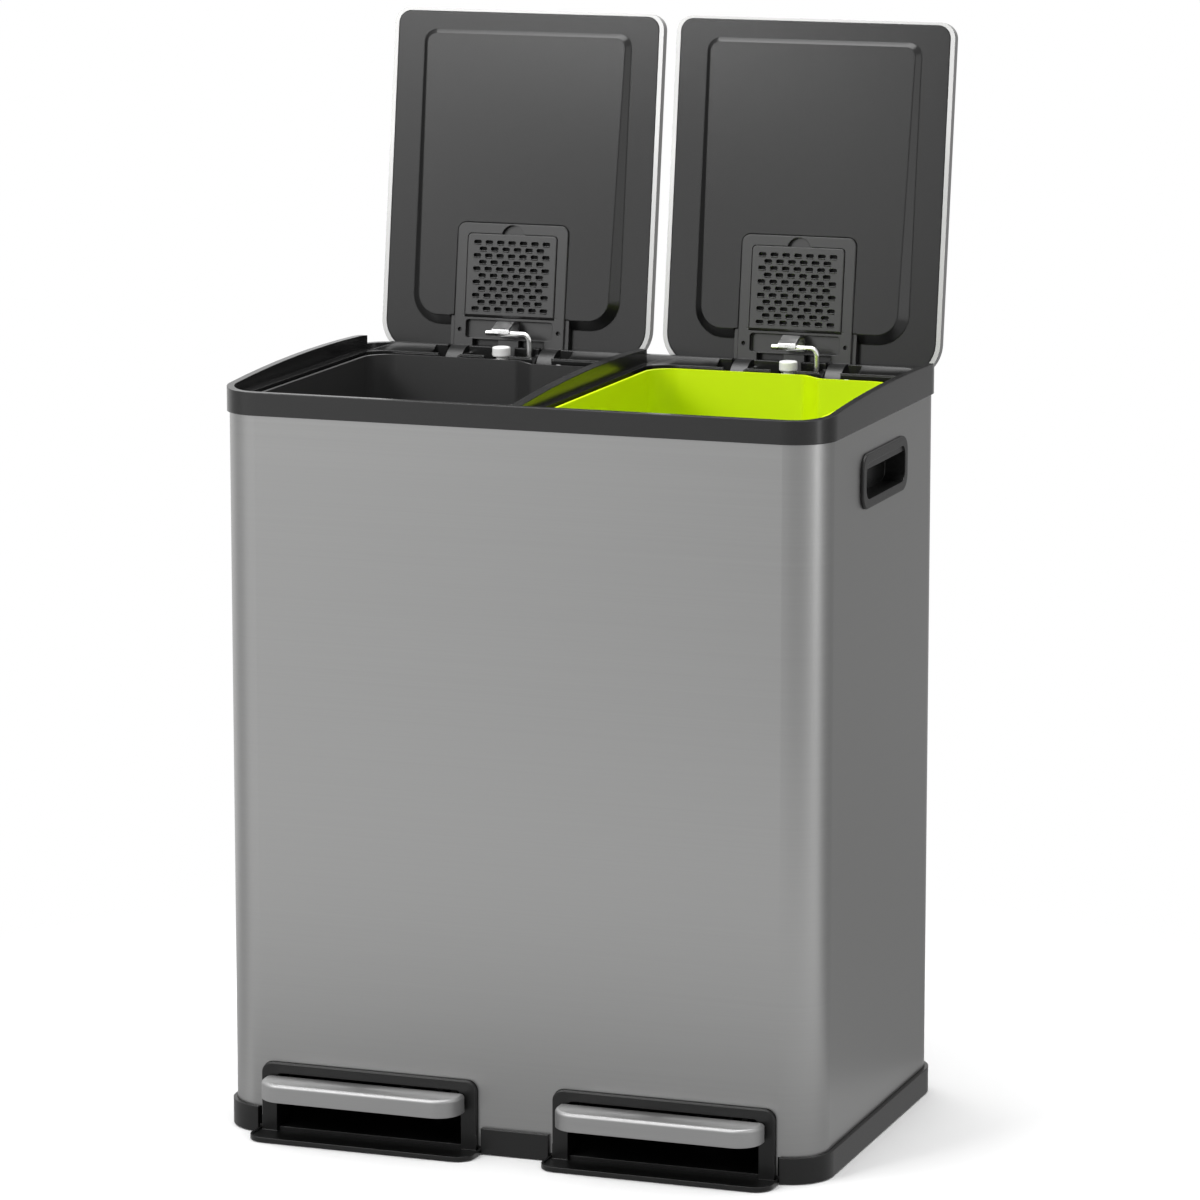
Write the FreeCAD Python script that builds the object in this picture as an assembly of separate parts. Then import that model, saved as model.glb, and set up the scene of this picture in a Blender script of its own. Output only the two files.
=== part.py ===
# Double recycling bin: one steel body, two lift-out buckets, two pedals and two hinged lids.
# Millimetres. X to the right, Y to the back, Z up. The origin is on the floor under the middle of the body.
# The lids are drawn open, the pedals up and the buckets in place.
import FreeCAD, Part
import math
import os

V = FreeCAD.Vector
X_AXIS = V(1, 0, 0)
Y_AXIS = V(0, 1, 0)
Z_AXIS = V(0, 0, 1)

# Gaps between pieces, and how far a cut runs past the piece it cuts.
seat_gap = 0.3
slide_gap = 0.4
pin_gap = 0.05
past = 20.0

# Body.
half_width = 250.0
half_depth = 160.0
body_corner = 32.0
sheet = 1.2
shell_bottom = 6.5
shell_top = 584.5

# Base.
base_overhang = 3.5
base_bottom = 1.0
base_top = 21.5
tray_thickness = 3.0
tray_lip = 2.5
pad_recess = 3.2
pad_radius = 14.0
pad_round = 0.8
pad_x = half_width - 45.0
pad_y = half_depth - 38.0
pad_places = [(-pad_x, -pad_y), (pad_x, -pad_y), (-pad_x, pad_y), (pad_x, pad_y), (0, 0)]

# Top frame. Heights follow the top of the shell and depths follow the body.
rim_overhang = 2.15
rim_wall = 6.0
rim_bottom = shell_top - 1.5
rim_front_top = shell_top + 17.0
rim_rear_top = shell_top + 15.0
wing_peak = shell_top + 24.2
wing_start_y = 7.0 - half_depth
wing_peak_y = 35.0
wing_end_y = half_depth - 20.0
ledge_top = shell_top + 11.0
ledge_thickness = 3.5
skirt_bottom = shell_top - 16.5
divider_half = 4.3
divider_depth = 14.0
deck_front_y = half_depth - 25.5
deck_dip_y = half_depth - 13.5
deck_front_z = shell_top + 9.5
deck_dip = 0.6
deck_thickness = 3.5
mouth_inner_x = 10.0
mouth_outer_x = half_width - 12.0
mouth_front_y = 10.0 - half_depth
mouth_corner = 22.0
well_half = 61.0
well_bar = 3.2
notch_half = 9.5
notch_bottom = shell_top + 0.8

# Lids, measured in their own plane: s runs up the open lid from the hinge side, p is how proud of the liner.
lid_centre = half_width / 2
lid_half = lid_centre - 5.65
lid_low = -8.0
lid_high = 2 * half_depth - 37.25
lid_thickness = 12.0
lid_front_corner = 13.0
lid_rear_corner = 30.0
lid_edge_round = 4.0
lid_skin = 1.2
lid_lip = 4.0
lid_lip_top = 2.4
lid_lean = 7.75
lid_foot_y = half_depth + 13.2
lid_foot_z = shell_top + 10.5
liner_wall = 2.0
panel_half = lid_half - 27.25
panel_low = 19.0
panel_high = lid_high - 16.75
panel_low_rise = 8.0
panel_high_rise = 4.0
panel_low_corner = 26.0
panel_high_corner = 11.0

# Hinge plate on each lid, off the middle of the lid by plate_shift.
plate_shift = -2.5
plate_half = 49.0
plate_low = 8.0
plate_high = 105.0
plate_rise = 8.0
plate_corner = 7.0
plate_round = 0.8
leg_width = 17.0
leg_foot = -5.0
ear_width = 3.5
ear_low = 2.0
ear_high = 27.0
ear_step = 2.2
arm_offset = 40.5
arm_half = 7.0
arm_root_low = -4.8
arm_root_high = 2.5
arm_outer_bulge = (24.5, -3.0)
arm_inner_bulge = (17.0, -8.6)
hinge_y = half_depth - 16.2
hinge_z = shell_top - 5.5
hinge_radius = 3.0
boss_radius = 6.5
lug_width = 5.0
tongue_half = 9.0
tongue_tip = -14.0
tongue_rise = 7.5
tongue_back = 2.5
recess_half = 38.5
recess_low = 9.0
recess_high = 24.2
recess_floor = 3.0
screw_s = 15.5
screw_x = 43.7
screw_head = 1.65
screw_shank = 1.1

# Filter door in the hinge plate, a little proud of it.
door_half = 39.5
door_low = 26.6
door_high = 96.0
door_thickness = 3.4
door_rise = 9.0
door_barrel = 1.2
door_corner = 3.5
door_pin = 1.0
door_pin_reach = 2.2
notch_radius = 10.0
notch_drop = 2.2
notch_floor = 3.8
filter_half = 36.5
filter_floor = 1.6
filter_depth = 3.2
slot_length = 6.6
slot_height = 3.1
slot_pitch_x = 10.15
slot_pitch_s = 5.55
slot_rows = 11
slots_per_row = 7

# Lift rod, clip and damper.
rod_radius = 2.2
rod_bend = 5.5
rod_y = half_depth - 9.0
rod_top = shell_top + 27.5
rod_end_x = -16.2
rod_drop_x = 22.0
rod_foot = 66.2
clip_half = 7.5
clip_sheet = 2.0
clip_play = 0.4
clip_grip = 1.0
clip_reach = 16.2
clip_slope = 0.58
guide_z = shell_top / 2
guide_height = 14.0
guide_half = 7.0
damper_x = 1.3
damper_y = half_depth - 20.0
damper_radius = 8.0
damper_bottom = shell_top - 38.5
damper_length = 42.0
damper_arm_z = shell_top - 14.5
plunger_radius = 7.5
plunger_bottom = shell_top + 10.0
plunger_top = shell_top + 17.9
plunger_round = 1.2
stem_radius = 4.0
stem_bottom = shell_top - 28.5

# Buckets.
bucket_side_gap = 16.0
bucket_centre = half_width / 2 - 1.0
rim_half = bucket_centre - bucket_side_gap
bucket_front = 14.0 - half_depth
bucket_rear = half_depth - 40.0
bucket_rear_step = half_depth - 55.5
bucket_corner = 24.0
step_round = 8.0
step_start = 25.0
step_end = 41.5
bucket_bottom = 67.3
bucket_rim = shell_top + 10.5
lip_width = 2.2
lip_height = 5.0
lip_round = 1.4
bucket_wall = 1.8
bucket_floor = 2.5
bucket_taper = 9.0

# Bucket floor on its posts.
platform_thickness = 3.0
platform_half = half_width - 7.0
platform_front = 28.0 - half_depth
platform_rear = half_depth - 34.0
post_half = 6.0
post_x = half_width - 16.0
post_inner_x = 12.0
post_front = 76.0 - half_depth
post_rear = half_depth - 48.0
rib_height = 6.5
rib_gap = 1.2
rib_width = 2.3

# Pedals.
housing_centre = half_width / 2 - 0.75
housing_half = 92.15
housing_front = -half_depth - 4.0
housing_back = 22.0 - half_depth
housing_top = 59.4
housing_corner = 9.0
housing_leg = 13.0
housing_bar = 8.4
housing_round = 1.2
shelf_half = housing_half + 3.35
shelf_front = -half_depth - 31.5
shelf_corner = 14.0
shelf_top = 3.2
shelf_lip = 4.6
shelf_edge = 2.0
foot_rise = 9.0
cap_half = housing_half - 7.15
cap_front = -half_depth - 35.0
cap_back = -half_depth - 6.0
cap_bottom = 35.4
cap_top = 50.1
cap_corner = 20.0
cap_wall = 3.0
cap_round = 3.0
pedal_axis_y = -32.0
pedal_axis_z = 25.0
axle_radius = 4.0
lever_half = 3.0
lever_end_y = half_depth - 5.0
lever_rise = 8.0
toe_length = 22.0
toe_half = 9.0
spread_half = cap_half - 25.0
spread_thickness = 3.0
bracket_width = 6.0
bracket_half = 14.0
bracket_eye = 10.0

# Hand-holds in the sides.
handle_half = 60.0
handle_low = shell_top - 67.5
handle_high = shell_top - 23.5
handle_corner = 13.0
handle_proud = 2.6
handle_wall = 2.0
handle_round = 1.2
grip_half = 52.5
grip_low = shell_top - 60.0
grip_high = shell_top - 31.0
grip_corner = 9.0
grip_back = half_width - 14.5
brow_drop = 5.0


def corner_cut(before, corner, after, radius):
    """Points where a rounded corner starts, bulges and ends."""
    to_before = (before - corner).normalize()
    to_after = (after - corner).normalize()
    half_angle = to_before.getAngle(to_after) / 2
    reach = radius / math.tan(half_angle)
    middle = (to_before + to_after).normalize()
    deep = radius / math.sin(half_angle) - radius
    return corner + to_before * reach, corner + middle * deep, corner + to_after * reach


def outline(points, radii):
    """Closed wire through the points, each corner rounded by its radius."""
    edges = []
    count = len(points)
    ends = []
    for i in range(count):
        if radii[i] > 0:
            ends.append(corner_cut(points[i - 1], points[i], points[(i + 1) % count], radii[i]))
        else:
            ends.append((points[i], None, points[i]))
    for i in range(count):
        start, bulge, end = ends[i]
        if bulge is not None:
            edges.append(Part.Arc(start, bulge, end).toShape())
        following = ends[(i + 1) % count][0]
        if end.distanceToPoint(following) > 0.001:
            edges.append(Part.makeLine(end, following))
    return Part.Wire(edges)


def rectangle(x0, x1, y0, y1, z):
    return [V(x0, y0, z), V(x1, y0, z), V(x1, y1, z), V(x0, y1, z)]


def slab(x0, x1, y0, y1, z0, z1, radii):
    """Upright block with rounded vertical corners."""
    if not isinstance(radii, list):
        radii = [radii] * 4
    face = Part.Face(outline(rectangle(x0, x1, y0, y1, z0), radii))
    return face.extrude(V(0, 0, z1 - z0))


def plate(x0, x1, z0, z1, y0, y1, radii):
    """Standing panel, rounded in its own plane: bottom left, bottom right, top right, top left."""
    if not isinstance(radii, list):
        radii = [radii] * 4
    points = [V(x0, y0, z0), V(x1, y0, z0), V(x1, y0, z1), V(x0, y0, z1)]
    return Part.Face(outline(points, radii)).extrude(V(0, y1 - y0, 0))


def side_plate(y0, y1, z0, z1, x0, x1, radius):
    """Block rounded as seen from the side."""
    points = [V(x0, y0, z0), V(x0, y1, z0), V(x0, y1, z1), V(x0, y0, z1)]
    return Part.Face(outline(points, [radius] * 4)).extrude(V(x1 - x0, 0, 0))


def box(x0, x1, y0, y1, z0, z1):
    return Part.makeBox(x1 - x0, y1 - y0, z1 - z0, V(x0, y0, z0))


def rod(radius, start, direction, length):
    return Part.makeCylinder(radius, length, start, direction)


def body_slab(grow, z0, z1):
    """Plan shape of the body, grown or shrunk all round."""
    x = half_width + grow
    y = half_depth + grow
    return slab(-x, x, -y, y, z0, z1, body_corner + grow)


def edges_level(shape, axis, value):
    """Edges that lie in one plane square to an axis."""
    found = []
    for edge in shape.Edges:
        bounds = edge.BoundBox
        low, high = [(bounds.XMin, bounds.XMax), (bounds.YMin, bounds.YMax), (bounds.ZMin, bounds.ZMax)][axis]
        if abs(low - value) < 0.01 and abs(high - value) < 0.01:
            found.append(edge)
    return found


def on_lid(shape, side):
    """Lean a piece drawn upright in the lid's own frame and set it on the open lid."""
    placed = shape.copy()
    placed.rotate(V(0, 0, 0), X_AXIS, -lid_lean)
    placed.translate(V(side * lid_centre, lid_foot_y, lid_foot_z))
    return placed


def in_lid_frame(y, z):
    """A line across the bin in the open lid's own frame: how far up and how proud of the liner."""
    lean = math.radians(lid_lean)
    dy = y - lid_foot_y
    dz = z - lid_foot_z
    return dy * math.sin(lean) + dz * math.cos(lean), -dy * math.cos(lean) + dz * math.sin(lean)


# Body shell and base.

def hand_hole(side, grow):
    return side_plate(-grip_half - grow, grip_half + grow, grip_low - grow, grip_high + grow,
                      side * (grip_back - grow), side * (half_width + past), grip_corner + grow)


def outer_shell():
    shell = body_slab(0, shell_bottom, shell_top).cut(body_slab(-sheet, shell_bottom - past, shell_top + past))
    for side in (-1, 1):
        shell = shell.cut(hand_hole(side, handle_wall + seat_gap))
        centre = side * housing_centre
        reach = housing_half + seat_gap
        opening = plate(centre - reach, centre + reach, 0, housing_top + seat_gap, housing_front, housing_back,
                        [0, 0, housing_corner, housing_corner])
        shell = shell.cut(opening)
    return shell


def axle_bracket(x):
    ears = []
    for side in (-1, 1):
        near = x + side * (lever_half + slide_gap)
        far = near + side * bracket_width
        low, high = min(near, far), max(near, far)
        floor = shell_bottom - seat_gap - tray_thickness / 2
        web = box(low, high, pedal_axis_y - bracket_half, pedal_axis_y + bracket_half, floor, pedal_axis_z)
        eye = rod(bracket_eye, V(low, pedal_axis_y, pedal_axis_z), X_AXIS, high - low)
        ears.append(web.fuse(eye))
    bracket = ears[0].fuse(ears[1])
    return bracket.cut(rod(axle_radius + pin_gap / 2, V(x - past, pedal_axis_y, pedal_axis_z), X_AXIS, 2 * past))


def base_tray():
    floor_top = shell_bottom - seat_gap
    tray = body_slab(base_overhang, base_bottom, base_top)
    tray = tray.cut(body_slab(seat_gap, floor_top, base_top + past))
    tray = tray.cut(body_slab(-tray_lip, base_bottom - past, floor_top - tray_thickness))
    for side in (-1, 1):
        centre = side * housing_centre
        reach = shelf_half + seat_gap
        front = -half_depth - base_overhang - past
        tray = tray.cut(box(centre - reach, centre + reach, front, -half_depth - seat_gap, 0, base_top + past))
        tray = tray.fuse(axle_bracket(lever_x(side)))
    for x, y in pad_places:
        socket = rod(pad_radius + tray_lip, V(x, y, base_bottom + seat_gap), Z_AXIS, tray_thickness)
        socket = socket.cut(rod(pad_radius + seat_gap, V(x, y, 0), Z_AXIS, pad_recess))
        tray = tray.fuse(socket)
    return tray.removeSplitter()


def floor_pads():
    pads = []
    for x, y in pad_places:
        pad = rod(pad_radius, V(x, y, 0), Z_AXIS, pad_recess - seat_gap)
        pads.append(pad.makeFillet(pad_round, edges_level(pad, 2, 0)))
    return Part.makeCompound(pads)


def bucket_outline(side, inset, z):
    """Plan of a bucket: a rounded rectangle whose back steps forward on its right."""
    centre = side * bucket_centre
    slope = math.atan2(bucket_rear - bucket_rear_step, step_end - step_start)
    shift = inset * math.tan(slope / 2)
    left = centre - rim_half + inset
    right = centre + rim_half - inset
    front = bucket_front + inset
    rear = bucket_rear - inset
    rear_step = bucket_rear_step - inset
    points = [V(left, front, z), V(right, front, z), V(right, rear_step, z),
              V(centre + step_end - shift, rear_step, z),
              V(centre + step_start - shift, rear, z), V(left, rear, z)]
    corner = bucket_corner - inset / 2
    return outline(points, [corner, corner, corner, step_round, step_round, corner])


def inner_floor():
    top = bucket_bottom - seat_gap
    low = top - platform_thickness
    deck = slab(-platform_half, platform_half, platform_front, platform_rear, low, top, bucket_corner)
    for side in (-1, 1):
        rib = Part.Face(bucket_outline(side, bucket_taper - rib_gap - rib_width, low))
        rib = rib.extrude(V(0, 0, platform_thickness + rib_height))
        seat = Part.Face(bucket_outline(side, bucket_taper - rib_gap, top)).extrude(V(0, 0, past))
        deck = deck.fuse(rib.cut(seat))
    for x in (-post_x, -post_inner_x, post_inner_x, post_x):
        for y in (post_front, post_rear):
            post = slab(x - post_half, x + post_half, y - post_half, y + post_half, shell_bottom, top, rib_width)
            deck = deck.fuse(post)
    return deck.removeSplitter()


# Top frame.

def wing_profile():
    """Side view of the frame's top line: level front, arched wings that end short of the back."""
    start = V(0, wing_start_y, rim_front_top)
    peak = V(0, wing_peak_y, wing_peak)
    radius = (wing_peak_y - wing_start_y) ** 2 / (2 * (wing_peak - rim_front_top))
    end_z = wing_peak - (wing_end_y - wing_peak_y) ** 2 / (2 * radius)
    end = V(0, wing_end_y, end_z)
    front = -half_depth - past
    back = half_depth + past
    low = skirt_bottom - past
    corners = [V(0, front, rim_front_top), V(0, front, low), V(0, back, low), V(0, back, rim_rear_top),
               V(0, wing_end_y, rim_rear_top), end]
    edges = [Part.makeLine(start, corners[0])]
    for i in range(5):
        edges.append(Part.makeLine(corners[i], corners[i + 1]))
    edges.append(Part.Arc(end, peak, start).toShape())
    return Part.Face(Part.Wire(edges))


def under_wings(x0, x1):
    space = wing_profile().extrude(V(x1 - x0, 0, 0))
    space.translate(V(x0, 0, 0))
    return space


def rear_deck():
    """Strip behind the bucket mouths, hollowed along its length."""
    reach = half_width
    back = half_depth + rim_overhang - rim_wall + seat_gap
    front_top = V(-reach, deck_front_y, deck_front_z)
    dip = V(-reach, deck_dip_y, deck_front_z + deck_dip)
    back_top = V(-reach, back, rim_rear_top)
    back_low = V(-reach, back, deck_front_z - deck_thickness)
    front_low = V(-reach, deck_front_y, deck_front_z - deck_thickness)
    edges = [Part.Arc(front_top, dip, back_top).toShape(), Part.makeLine(back_top, back_low),
             Part.makeLine(back_low, front_low), Part.makeLine(front_low, front_top)]
    strip = Part.Face(Part.Wire(edges)).extrude(V(2 * reach, 0, 0))
    return strip.common(body_slab(rim_overhang - rim_wall + seat_gap, skirt_bottom, wing_peak))


def hinge_lugs(plate_x):
    """Two pairs of eyes that hold the hinge pins of one lid."""
    lugs = []
    wall_y = half_depth + rim_overhang - rim_wall
    for arm in (-1, 1):
        for side in (-1, 1):
            near = plate_x + arm * arm_offset + side * (arm_half + slide_gap)
            far = near + side * lug_width
            low, high = min(near, far), max(near, far)
            web_low = hinge_z - boss_radius - 1.5
            web = box(low, high, hinge_y, wall_y + seat_gap, web_low, hinge_z + boss_radius - 0.5)
            eye = rod(boss_radius, V(low, hinge_y, hinge_z), X_AXIS, high - low)
            lugs.append(web.fuse(eye))
            if side != arm:
                rib_low = hinge_z + hinge_radius + 1
                lugs.append(box(low, high, deck_front_y, wall_y + seat_gap, rib_low, deck_front_z))
    return lugs


def well_cut(plate_x):
    """Opening in the deck above one lid's hinge, with gaps in the bar and the wall where the arms pass."""
    wall_y = half_depth + rim_overhang - rim_wall
    centre = plate_x + 0.5
    front = deck_front_y - seat_gap
    top = wing_peak + past
    cuts = [box(centre - well_half, centre + well_half, deck_front_y + well_bar, wall_y, notch_bottom, top)]
    for x in (plate_x - arm_offset, plate_x, plate_x + arm_offset):
        cuts.append(box(x - notch_half, x + notch_half, front, half_depth + past, notch_bottom, top))
    plunger_reach = plate_x - plate_shift + damper_x + plunger_radius + slide_gap
    cuts.append(box(plate_x, plunger_reach, front, wall_y, notch_bottom, top))
    return cuts


def top_frame():
    inner = rim_overhang - rim_wall
    above = wing_peak + past
    below = skirt_bottom - past
    band = body_slab(rim_overhang, rim_bottom, above).cut(body_slab(inner, below, above + past))
    groove = body_slab(seat_gap, below, shell_top + seat_gap)
    groove = groove.cut(body_slab(-sheet - seat_gap, below - past, above))
    band = band.cut(groove)
    skirt = body_slab(-sheet - seat_gap, skirt_bottom, shell_top + seat_gap).cut(body_slab(inner, below, above))
    band = band.fuse(skirt)
    band = band.common(under_wings(-half_width - past, half_width + past))
    ledge = body_slab(inner + seat_gap, ledge_top - ledge_thickness, ledge_top)
    ledge = ledge.common(box(-half_width, half_width, -half_depth, deck_front_y + seat_gap, below, above))
    frame = band.fuse([ledge, rear_deck()])
    for side in (-1, 1):
        near = side * mouth_inner_x
        far = side * mouth_outer_x
        mouth = slab(min(near, far), max(near, far), mouth_front_y, deck_front_y, below, above, mouth_corner)
        frame = frame.cut(mouth)
    wall_front = -half_depth - inner
    wall = box(-divider_half, divider_half, wall_front - seat_gap, wing_end_y, ledge_top - divider_depth, above)
    wall = wall.common(under_wings(-past, past))
    frame = frame.fuse(wall)
    for side in (-1, 1):
        plate_x = side * lid_centre + plate_shift
        frame = frame.cut(well_cut(plate_x))
        frame = frame.fuse(hinge_lugs(plate_x))
        bore_start = V(plate_x - 2 * arm_offset, hinge_y, hinge_z)
        frame = frame.cut(rod(hinge_radius + pin_gap / 2, bore_start, X_AXIS, 4 * arm_offset))
    return frame.removeSplitter()


def hinge_pins(side):
    pins = []
    reach = arm_half + slide_gap + lug_width
    for arm in (-1, 1):
        x = side * lid_centre + plate_shift + arm * arm_offset
        pins.append(rod(hinge_radius, V(x - reach, hinge_y, hinge_z), X_AXIS, 2 * reach))
    return Part.makeCompound(pins)


# Lids.

def lid_outline(y, inset, inset_top):
    points = [V(-lid_half + inset, y, lid_low + inset), V(lid_half - inset, y, lid_low + inset),
              V(lid_half - inset, y, lid_high - inset_top), V(-lid_half + inset, y, lid_high - inset_top)]
    front = lid_front_corner - inset * 0.6
    rear = lid_rear_corner - inset
    return outline(points, [rear, rear, front, front])


def lid_slab(y0, y1, inset, inset_top):
    return Part.Face(lid_outline(y0, inset, inset_top)).extrude(V(0, y1 - y0, 0))


def lid_cover(side):
    """Steel lid skin with rounded edges and a narrow lip turned in over the liner."""
    cover = lid_slab(0, lid_thickness, 0, 0)
    cover = cover.makeFillet(lid_edge_round, edges_level(cover, 1, lid_thickness))
    hollow = lid_slab(lid_skin, lid_thickness - lid_skin, 2 * lid_skin, 1.5 * lid_skin)
    mouth = lid_slab(-lid_skin, lid_thickness - lid_skin, lid_lip - seat_gap, lid_lip_top - seat_gap)
    return on_lid(cover.cut([hollow, mouth]), side)


def panel_outline(y, inset):
    points = [V(-panel_half + inset, y, panel_low + inset), V(panel_half - inset, y, panel_low + inset),
              V(panel_half - inset, y, panel_high - inset), V(-panel_half + inset, y, panel_high - inset)]
    low_corner = panel_low_corner - inset
    high_corner = panel_high_corner - inset * 0.6
    return outline(points, [low_corner, low_corner, high_corner, high_corner])


def panel_block(drop):
    """Raised panel of the liner: bevelled all round and thicker towards the hinge."""
    rise = panel_low_rise + liner_wall
    block = Part.makeLoft([panel_outline(seat_gap, drop), panel_outline(-rise, rise + drop)], True, True)
    low_y = -panel_low_rise + drop
    high_y = -panel_high_rise + drop
    slope = (high_y - low_y) / (panel_high - panel_low)
    low = panel_low - past
    high = panel_high + past
    corners = [V(-lid_half, low_y - slope * past, low), V(-lid_half, high_y + slope * past, high),
               V(-lid_half, past, high), V(-lid_half, past, low)]
    keep = Part.Face(Part.makePolygon(corners + corners[:1])).extrude(V(2 * lid_half, 0, 0))
    return block.common(keep)


def plate_outline_block(grow, y0, y1):
    """Footprint of the hinge plate with its two legs and side ears."""
    x = plate_shift
    top = [0, 0, plate_corner + grow, plate_corner + grow]
    main = plate(x - plate_half - grow, x + plate_half + grow, plate_low - grow, plate_high + grow, y0, y1, top)
    parts = []
    for side in (-1, 1):
        outer = x + side * (plate_half + grow)
        inner = x + side * (plate_half - leg_width - grow)
        left, right = min(outer, inner), max(outer, inner)
        parts.append(box(left, right, min(y0, y1), max(y0, y1), leg_foot - grow, recess_low))
    return main.fuse(parts)


def lid_liner(side):
    """Dark inner tray of the lid with its raised panel and the pocket for the hinge plate."""
    edge = lid_lip
    liner = lid_slab(0, lid_thickness - lid_skin - seat_gap, edge, lid_lip_top)
    liner = liner.cut(lid_slab(liner_wall, lid_thickness, edge + liner_wall, lid_lip_top + liner_wall))
    liner = liner.fuse(panel_block(0))
    pocket_wall = plate_outline_block(seat_gap + liner_wall, -past, liner_wall)
    hollow = panel_block(liner_wall).cut(pocket_wall)
    liner = liner.cut(hollow)
    liner = liner.cut(plate_outline_block(seat_gap, -past, 0))
    ear_reach = plate_half + ear_width + seat_gap
    ears = box(plate_shift - ear_reach, plate_shift + ear_reach, -past, 0, 0, ear_high + seat_gap)
    liner = liner.cut(ears)
    for x in (-screw_x, screw_x):
        liner = liner.cut(rod(screw_shank + seat_gap, V(plate_shift + x, -past, screw_s), Y_AXIS, 2 * past))
    return on_lid(liner.removeSplitter(), side)


def hinge_arm(x):
    """Hooked arm from the foot of a leg round to the hinge boss."""
    hinge_s, hinge_p = in_lid_frame(hinge_y, hinge_z)
    front = plate_rise
    outer_mid = V(0, -arm_outer_bulge[0], arm_outer_bulge[1])
    inner_mid = V(0, -arm_inner_bulge[0], arm_inner_bulge[1])
    outer = Part.Arc(V(0, -front, arm_root_high), outer_mid, V(0, -hinge_p - boss_radius, hinge_s)).toShape()
    inner = Part.Arc(V(0, -hinge_p + boss_radius, hinge_s), inner_mid, V(0, -front, arm_root_low)).toShape()
    tip = Part.Arc(V(0, -hinge_p - boss_radius, hinge_s), V(0, -hinge_p, hinge_s - boss_radius),
                   V(0, -hinge_p + boss_radius, hinge_s)).toShape()
    sunk = front - recess_floor
    root = [Part.makeLine(V(0, -front, arm_root_low), V(0, -sunk, arm_root_low)),
            Part.makeLine(V(0, -sunk, arm_root_low), V(0, -sunk, arm_root_high)),
            Part.makeLine(V(0, -sunk, arm_root_high), V(0, -front, arm_root_high))]
    arm = Part.Face(Part.Wire([outer, tip, inner] + root)).extrude(V(2 * arm_half, 0, 0))
    arm.translate(V(x - arm_half, 0, 0))
    bore = rod(hinge_radius + pin_gap, V(x - past, -hinge_p, hinge_s), X_AXIS, 2 * past)
    return arm, bore


def hinge_plate(side):
    """Plate that carries the lid: two arms, the filter pocket, the clip recess and the damper tongue."""
    x = plate_shift
    body = plate_outline_block(0, -plate_rise, -seat_gap)
    front_edges = []
    for edge in edges_level(body, 1, -plate_rise):
        if edge.BoundBox.ZMin > recess_low:
            front_edges.append(edge)
    body = body.makeFillet(plate_round, front_edges)
    for side_x in (-1, 1):
        near = x + side_x * (plate_half - plate_round)
        far = x + side_x * (plate_half + ear_width)
        ear_front = -plate_rise + ear_step
        body = body.fuse(box(min(near, far), max(near, far), ear_front, -seat_gap, ear_low, ear_high))
    body = body.fuse(box(x - tongue_half, x + tongue_half, -tongue_rise, -tongue_back, tongue_tip, recess_low))
    bores = []
    for arm_side in (-1, 1):
        arm, bore = hinge_arm(x + arm_side * arm_offset)
        body = body.fuse(arm)
        bores.append(bore)
    front = -plate_rise - past
    recess = plate(x - recess_half, x + recess_half, recess_low, recess_high, front, -recess_floor, 2.5)
    door_back = -door_rise + door_thickness + slide_gap
    door_space = plate(x - door_half - slide_gap, x + door_half + slide_gap, door_low - slide_gap,
                       door_high + slide_gap, front, door_back, [0, 0, door_corner, door_corner])
    filter_space = plate(x - filter_half, x + filter_half, door_low + door_thickness,
                         door_high - door_thickness, front, -filter_floor, door_corner)
    notch = rod(notch_radius, V(x, front, door_high - notch_drop), Y_AXIS, -notch_floor - front)
    body = body.cut([recess, door_space, filter_space, notch] + bores)
    for screw in (-screw_x, screw_x):
        start = V(x + screw, front, screw_s)
        body = body.cut(rod(screw_head + seat_gap / 3, start, Y_AXIS, -recess_floor - front))
        body = body.cut(rod(screw_shank + seat_gap, start, Y_AXIS, 2 * past))
    for end in (-1, 1):
        start = V(x + end * (door_half - door_pin), -plate_rise + door_barrel, door_low + door_barrel)
        body = body.cut(rod(door_pin + pin_gap, start, V(end, 0, 0), door_pin + door_pin_reach + slide_gap))
    return on_lid(body.removeSplitter(), side)


def door_slots(y0, length):
    """Staggered slots: seven in one row, six in the next."""
    slots = []
    middle = (door_low + door_high) / 2
    for row in range(slot_rows):
        count = slots_per_row - row % 2
        s = middle + (row - (slot_rows - 1) / 2) * slot_pitch_s
        for place in range(count):
            x = plate_shift + (place - (count - 1) / 2) * slot_pitch_x
            half = slot_length / 2
            low = s - slot_height / 2
            rounding = slot_height / 2 - pin_gap
            slots.append(plate(x - half, x + half, low, low + slot_height, y0, y0 + length, rounding))
    return slots


def filter_door(side):
    """Pierced cover of the filter, hinged on two stub pins at its bottom edge."""
    x = plate_shift
    front = -door_rise
    hinge_s = door_low + door_barrel
    barrel_y = -plate_rise + door_barrel
    door = plate(x - door_half, x + door_half, hinge_s, door_high, front, front + door_thickness,
                 [0, 0, door_corner, door_corner])
    door = door.makeFillet(plate_round, edges_level(door, 1, front))
    barrel = rod(door_barrel, V(x - door_half, barrel_y, hinge_s), X_AXIS, 2 * door_half)
    reach = door_half + door_pin_reach
    pins = rod(door_pin, V(x - reach, barrel_y, hinge_s), X_AXIS, 2 * reach)
    door = door.fuse([barrel, pins]).removeSplitter()
    return on_lid(door.cut(door_slots(front - past, door_thickness + 2 * past)), side)


def filter_pad(side):
    x = plate_shift
    reach = filter_half - slide_gap
    low = door_low + door_thickness + slide_gap
    high = door_high - door_thickness - slide_gap
    back = -filter_floor - seat_gap
    pad = plate(x - reach, x + reach, low, high, back - filter_depth, back, door_corner - slide_gap)
    return on_lid(pad, side)


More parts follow.
